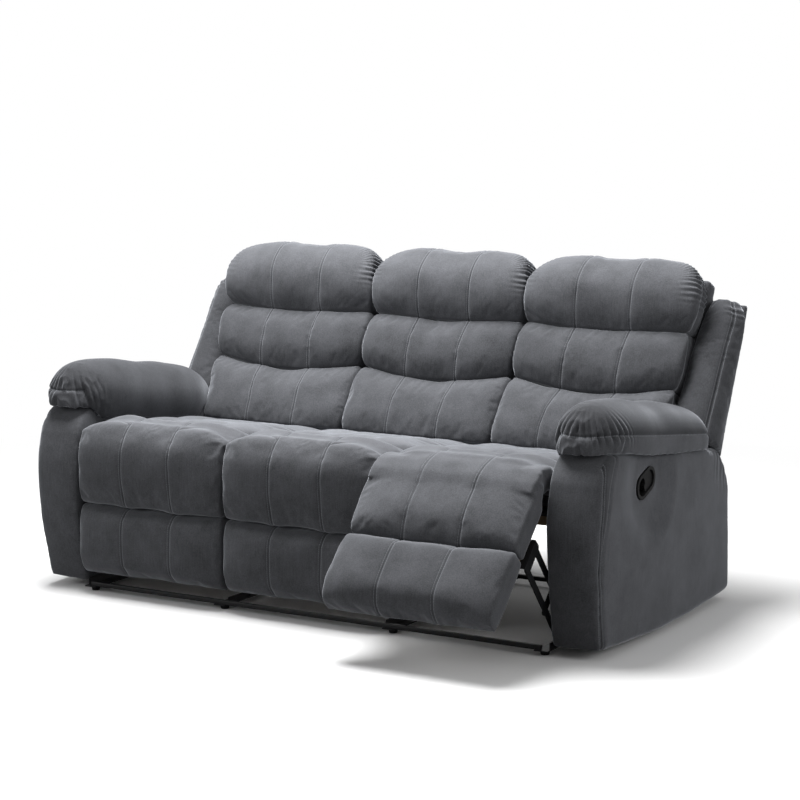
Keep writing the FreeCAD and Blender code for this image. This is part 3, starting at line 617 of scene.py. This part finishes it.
def make_wing():
    """The wing's front is stitched down its outer side; the top outer corner is rounded and gathered."""
    piece = cover("right_wing_cover", ("right_wing",))
    _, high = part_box("right_wing")
    co, out = points(piece)
    held = (off_the_back(co) < 0.03) | (out[:, 0] < -0.8)
    stuff(piece, held, 0.008)
    refine(piece)
    co, out = points(piece)
    up = up_the_back(co)
    corner = np.maximum(np.stack([co[:, 0] - high[0] + wing_round, up - up.max() + wing_round], 1), 0)
    reach = np.hypot(corner[:, 0], corner[:, 1])
    back = np.where(corner.min(1) > 0, np.clip(wing_round / np.maximum(reach, 1e-6), 0, 1) - 1, 0)
    co[:, 0] += corner[:, 0] * back
    co += (corner[:, 1] * back)[:, None] * up_way
    up = up_the_back(co)
    edge = wing_seam_x - 0.03 * np.clip((up - 0.418) / 0.08, 0, 1) ** 2
    edge_gap = np.where(forwards(out) > -0.2, np.abs(co[:, 0] - edge), 1.0)
    ruck = np.sin(up * 2 * math.pi / wing_gather_pitch + 3 * waves(co, 20.0, 5))
    fade = np.exp(-(edge_gap / 0.022) ** 2) * np.exp(-((up - 0.47) / 0.035) ** 4)
    co += out * (ruck * fade * 0.0025)[:, None]
    co = sew_in(co, out, edge_gap, 0.003)
    co += out * (waves(co, 8.0, 6) * 0.004)[:, None]
    place_points(piece, co)
    # Painted shade: cloth that faces forwards is painted darker, the rest a little lighter.
    mark_seams(piece, edge_gap, up, 0.15 - 0.75 * np.clip(forwards(out), 0, 1))
    return piece


def make_shell(side):
    node = side + "_back_shell"
    piece = cover(node + "_cover", (node,), size=0.01)
    co, out = points(piece)
    co += out * (waves(co, 5.0, 8) * 0.0025)[:, None]
    place_points(piece, co)
    mark_seams(piece, co[:, 0] * 0 + 1, co[:, 0])
    return piece


right_wing = make_wing()
left_wing = copy_of(right_wing, "left_wing_cover", mirror)
clothe(right_wing, "right_wing", body="right_back")
clothe(left_wing, "left_wing", body="left_back")
right_shell = make_shell("right")
left_shell = copy_of(right_shell, "left_back_shell_cover", mirror)
clothe(right_shell, "right_back_shell", body="right_back")
clothe(left_shell, "left_back_shell", body="left_back")
clothe(make_shell("middle"), "middle_back_shell", body="frame")

# Arms: plywood boxes under foam, covered in a front panel that bellies out and a padded side panel. A strip
# between two stitched seams joins them behind the front edge, and the rear top corner is lightly gathered.

handle_centre = (-0.08163, 0.465)
arm_swell = 0.022
first_line = ((0.04, 0.15, 0.26, 0.38, 0.49, 0.6), (-0.345, -0.366, -0.380, -0.377, -0.362, -0.335))
second_line = ((0.04, 0.2, 0.31, 0.377, 0.489, 0.55, 0.6),
               (-0.345, -0.374, -0.369, -0.353, -0.322, -0.293, -0.26))


def make_arm():
    """Side and front panel with a strip between their seams, first_line and second_line: heights, then how
    far forward each lies there. They run together towards the floor."""
    node = "right_arm"
    piece = cover("right_arm_cover", (node,), size=0.008)
    low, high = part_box(node)
    refine(piece)
    co, out = points(piece)
    wide = (high[0] - low[0]) / 2
    side = (co[:, 0] - (high[0] + low[0]) / 2) / wide
    to_handle = np.hypot(co[:, 1] - handle_centre[0], co[:, 2] - handle_centre[1])
    away = np.clip((to_handle - 0.075) / 0.12, 0, 1)
    away = away * away * (3 - 2 * away)
    belly = np.clip(1 - (co[:, 1] - low[1]) / 0.12, 0, 1)
    co[:, 1] -= 0.012 * (1 - side ** 2) * belly
    rise = np.clip((co[:, 2] - low[2]) / (high[2] - low[2]), 0, 1)
    run = np.sin(np.pi * np.clip((co[:, 1] - low[1]) / (high[1] - low[1]), 0, 1)) ** 0.6
    outer = np.clip(side, 0, 1)
    co[:, 0] += arm_swell * outer * away * run * (0.6 + 0.4 * np.sin(np.pi * rise))
    first_seam = np.interp(co[:, 2], *first_line)
    second_seam = np.interp(co[:, 2], *second_line)
    outside = (out[:, 0] > 0.2) & (side > 0.5)
    first_gap = np.where(outside, np.abs(co[:, 1] - first_seam), 1.0)
    second_gap = np.where(outside, np.abs(co[:, 1] - second_seam), 1.0)
    seam_gap = np.minimum(first_gap, second_gap + 0.006)
    co = sew_in(co, out, np.minimum(first_gap, second_gap), 0.004, 0.006)
    corner = np.hypot(co[:, 1] - (high[1] - 0.08), co[:, 2] - 0.46)
    ruck = np.sin(co[:, 1] * 2 * math.pi / 0.03 + 2 * waves(co, 20.0, 4))
    co += out * (ruck * np.clip(out[:, 0], 0, 1) * np.exp(-(corner / 0.06) ** 2) * 0.003)[:, None]
    co += out * (waves(co, 6.0, 9) * 0.004 * away)[:, None]
    place_points(piece, co)
    # Painted light and shade: the side panel is painted lighter and the strip between the seams darker, for
    # the nap's sheen and the light that falls on each.
    panel = np.where(outside & (co[:, 1] > second_seam), 0.6, 0.1)
    panel = np.where(outside & (co[:, 1] > first_seam) & (co[:, 1] < second_seam), -0.4, panel)
    mark_seams(piece, seam_gap, co[:, 2], panel)
    return piece


right_arm = make_arm()
left_arm = copy_of(right_arm, "left_arm_cover", mirror)
clothe(right_arm, "right_arm", body="frame")
clothe(left_arm, "left_arm", body="frame")

# Arm pads: pillow tops sewn from a top panel gathered into a side band round the front. Near the front an
# upright seam joins the band to its longer rear piece.

gather_pitch = 0.025
gather_depth = 0.014
pad_round = 0.11
pad_foot_z = 0.578
pad_level_y = -0.303
pad_slope = 0.122
pad_seam_share = 0.36
band_seam_back = 0.115


def make_arm_pad():
    """The pad's foot is level in front and slopes down behind; its side seam runs parallel above it."""
    node = "right_arm_pad"
    piece = cover("right_arm_pad_cover", (node,), size=0.0065)
    low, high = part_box(node)
    arm_low, arm_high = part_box("right_arm")
    mid = (arm_low[0] + arm_high[0]) / 2
    co, out = points(piece)
    stuff(piece, out[:, 2] < -0.5, 0.008, 0.0)
    refine(piece)
    co, out = points(piece)
    length = high[1] - low[1]
    share = np.clip((co[:, 1] - low[1]) / length, 0, 1)
    base = pad_foot_z - pad_slope * np.maximum(co[:, 1] - pad_level_y, 0)
    above = co[:, 2] - base - pad_seam_share * (0.150 - 0.014 * share)
    round_y = low[1] + pad_round
    quarter = np.pi / 2 * pad_round
    run = np.where(co[:, 1] > round_y, quarter + co[:, 1] - round_y,
                   pad_round * np.arctan2(np.abs(co[:, 0] - mid), np.maximum(round_y - co[:, 1], 1e-4)))
    outside = co[:, 0] > mid
    band_y = low[1] + band_seam_back
    outer = np.clip((co[:, 0] - mid) / 0.05, 0, 1)
    front_part = np.clip((quarter + 0.06 * outer - run) / 0.07, 0, 1)
    phase = run / gather_pitch + 1.3 * waves(co * (1, 1, 0.4), 11.0, 11) + 0.2 * above / 0.03
    pleat = np.abs(np.sin(np.pi * phase)) ** 0.6 - 0.6
    uneven = np.clip(0.6 + 0.9 * waves(co, 15.0, 13), 0.1, 1.3)
    fade = np.exp(-(np.maximum(above, 0) / 0.045) ** 2)
    fade *= np.exp(-(np.minimum(above, 0) / (0.055 - 0.03 * outer)) ** 2)
    co += out * (pleat * uneven * fade * front_part * gather_depth)[:, None]
    crinkle = np.abs(waves(co * (1, 1, 0.7), 30.0, 17))
    nose = np.clip(2 - 2 * run / (quarter + 0.03), 0, 1) * np.exp(-(np.maximum(above, 0) / 0.06) ** 2)
    co -= out * (crinkle * nose * (1 - 0.6 * outer) * 0.012)[:, None]
    band_gap = np.where((above < 0.003) & outside, np.abs(co[:, 1] - band_y), 1.0)
    seam_gap = np.minimum(np.abs(above), band_gap)
    seam_gap = np.where((np.abs(out[:, 2]) < 0.9) & (co[:, 0] > mid - 0.07), seam_gap, 1.0)
    co = sew_in(co, out, seam_gap, 0.004, 0.005)
    lip = np.clip(1 - (co[:, 2] - base) / 0.05, 0, 1) * outside * np.clip(out[:, 0], 0, 1)
    co[:, 2] -= 0.010 * lip * np.sin(np.pi * np.clip((co[:, 1] + 0.30) / 0.62, 0, 1))
    co[:, 2] += 0.016 * lip * np.exp(-((co[:, 1] + 0.29) / 0.07) ** 2)
    co += out * (waves(co, 9.0, 12) * 0.004)[:, None]
    place_points(piece, co)
    # Painted shade and light: the top panel is painted darker and the rear band lighter, for the nap's
    # sheen and the light that falls on each.
    panel = np.where(above > 0, -0.8, np.where(co[:, 1] > band_y, 0.35, 0.0))
    panel = np.where(co[:, 0] > mid - 0.07, panel, -0.8)
    mark_seams(piece, seam_gap + 0.004, run, panel)
    return piece


right_arm_pad = make_arm_pad()
left_arm_pad = copy_of(right_arm_pad, "left_arm_pad_cover", mirror)
clothe(right_arm_pad, "right_arm_pad", body="frame")
clothe(left_arm_pad, "left_arm_pad", body="frame")

# Studio: a pale floor, a large soft lamp overhead, smaller ones from the front left and from the right, and
# a camera that stands to the right of the sofa at about eye height.


def pale_floor():
    """Matt white floor that keeps the shadow near the sofa and runs out to plain white."""
    made, tree, shader = finish_named("pale_floor")
    output = tree.nodes["Material Output"]
    place = add(tree, "TexCoord", {}, {})
    far = add(tree, "VectorMath", {"operation": "LENGTH"}, {0: place.outputs["Object"]})
    fade = add(tree, "MapRange", {}, {"Value": far.outputs["Value"], "From Min": 1.2, "From Max": 3.4})
    eye = add(tree, "LightPath", {}, {})
    seen = add(tree, "Math", {"operation": "MULTIPLY"}, {0: fade.outputs["Result"],
                                                         1: eye.outputs["Is Camera Ray"]})
    white = add(tree, "Emission", {}, {"Color": (1, 1, 1, 1), "Strength": 1.0})
    grey = add(tree, "BsdfDiffuse", {}, {"Color": colour("#8a8a8a")})
    bounce = add(tree, "MixShader", {}, {0: eye.outputs["Is Camera Ray"], 1: grey.outputs[0],
                                         2: shader.outputs[0]})
    blend = add(tree, "MixShader", {}, {0: seen.outputs[0], 1: bounce.outputs[0], 2: white.outputs[0]})
    shader.inputs["Base Color"].default_value = colour("#f6f6f6")
    shader.inputs["Roughness"].default_value = 0.9
    tree.links.new(blend.outputs[0], output.inputs["Surface"])
    return made


bpy.ops.mesh.primitive_plane_add(size=60, location=(0, 0, 0))
floor = bpy.context.object
floor.name = "studio_floor"
floor.data.materials.append(pale_floor())


def soft_lamp(name, place, aim, size, power):
    data = bpy.data.lights.new(name, "AREA")
    data.shape = "DISK"
    data.size = size
    data.energy = power
    lamp = bpy.data.objects.new(name, data)
    bpy.context.scene.collection.objects.link(lamp)
    lamp.location = place
    lamp.rotation_euler = (Vector(aim) - Vector(place)).to_track_quat("-Z", "Y").to_euler()


soft_lamp("overhead", (-0.5, 0.1, 3.4), (0.0, 0.0, 0.4), 2.2, 245)
soft_lamp("from_left", (-3.6, -3.6, 2.2), (-0.4, 0.0, 0.5), 1.8, 46)
soft_lamp("from_right", (4.4, -0.4, 2.0), (0.8, 0.1, 0.5), 1.8, 40)

world = bpy.data.worlds.new("studio")
bpy.context.scene.world = world
world.use_nodes = True
sky = world.node_tree
backdrop = sky.nodes["Background"]
path = add(sky, "LightPath", {}, {})
shiny = add(sky, "Math", {"operation": "MAXIMUM"}, {0: path.outputs["Is Camera Ray"],
                                                    1: path.outputs["Is Glossy Ray"]})
glow = add(sky, "MapRange", {}, {"Value": shiny.outputs[0], "To Min": 0.3, "To Max": 1.0})
backdrop.inputs["Color"].default_value = (1, 1, 1, 1)
sky.links.new(glow.outputs["Result"], backdrop.inputs["Strength"])

lens = bpy.data.cameras.new("camera")
lens.lens = 100.46
lens.sensor_width = 36.0
camera = bpy.data.objects.new("camera", lens)
bpy.context.scene.collection.objects.link(camera)
camera.location = (3.518, -5.8098, 1.610)
camera.rotation_euler = Euler((math.radians(90 - 8.29), 0, math.radians(30.31)))
bpy.context.scene.camera = camera
bpy.context.scene.view_settings.view_transform = "Standard"
